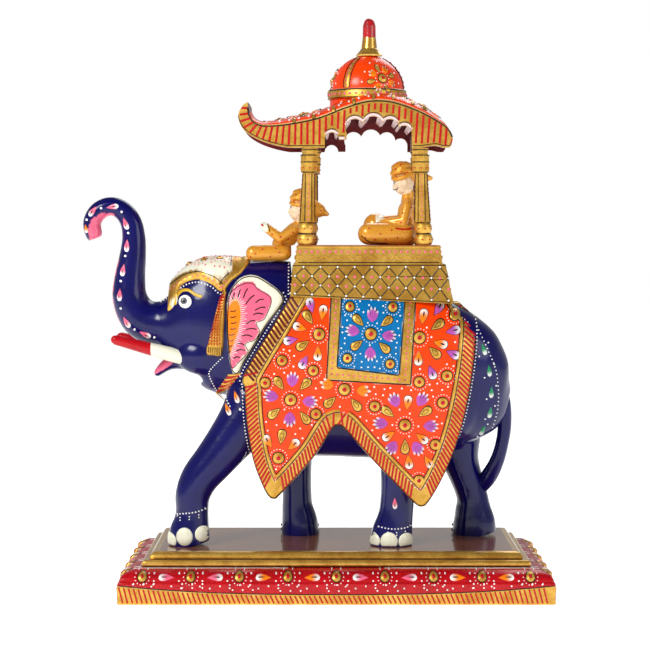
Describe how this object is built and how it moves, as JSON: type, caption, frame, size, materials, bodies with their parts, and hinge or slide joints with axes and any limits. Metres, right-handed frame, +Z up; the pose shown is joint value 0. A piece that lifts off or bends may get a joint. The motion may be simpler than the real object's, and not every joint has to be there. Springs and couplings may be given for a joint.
{
  "type": "carved wooden elephant figurine",
  "caption": "Painted carved wooden elephant, trunk raised, with a canopied howdah and riders on its back and a moulded plinth below.",
  "frame": {"origin": "centre of the plinth's underside", "axes": "+Z up; +X towards the elephant's tail; -Y towards the elephant's left side"},
  "size_m": [0.2484, 0.114, 0.305],
  "materials": {
    "base_paint": "red gloss paint with a gold striped edge, under clear lacquer",
    "top_board_paint": "mottled gold paint on the nosings, brown lacquer on top",
    "bare_dowel": "bare turned dowel, hidden in its holes",
    "blue_lacquer": "deep ultramarine gloss lacquer over carved wood",
    "tusk_paint": "ivory and red gloss paint",
    "ear_paint": "pink, orange and ivory gloss paint with black strokes",
    "head_cloth_paint": "ivory and gold paint with pink dots",
    "tassel_paint": "gold and red striped paint",
    "cloth_paint": "orange-red gloss paint with raised painted flowers and a striped gold border",
    "lattice_gold": "mottled gold paint with a black lattice",
    "deck_gold": "mottled gold paint, red floor",
    "post_gold": "mottled gold paint with black rings",
    "canopy_paint": "orange-red paint, gold valance with red stripes, maroon inside",
    "dome_paint": "orange-red gloss paint with gold bands",
    "finial_paint": "gold foot and translucent red tip",
    "robe_gold": "golden ochre gloss paint with small red dots",
    "face_paint": "ivory face with painted features, golden turban"
  },
  "bodies": {
    "root": {"base_moulding": "base_paint", "plinth_top": "top_board_paint", "foot_dowels": "bare_dowel", "elephant_body": "blue_lacquer", "trunk": "blue_lacquer", "trunk_dowel": "bare_dowel", "tusk_left": "tusk_paint", "tusk_right": "tusk_paint", "ear_left": "ear_paint", "ear_right": "ear_paint", "tail": "blue_lacquer", "head_cloth": "head_cloth_paint", "tassel_left": "tassel_paint", "tassel_right": "tassel_paint", "caparison_left": "cloth_paint", "caparison_right": "cloth_paint", "howdah_saddle": "lattice_gold", "saddle_dowels": "bare_dowel", "howdah_deck": "deck_gold", "post_front_left": "post_gold", "post_front_right": "post_gold", "post_rear_left": "post_gold", "post_rear_right": "post_gold", "canopy_roof": "canopy_paint", "dome": "dome_paint", "dome_dowel": "bare_dowel", "finial": "finial_paint", "king_body": "robe_gold", "king_head": "face_paint", "mahout_body": "robe_gold", "mahout_head": "face_paint", "rider_pegs": "bare_dowel"}
  },
  "joints": []
}
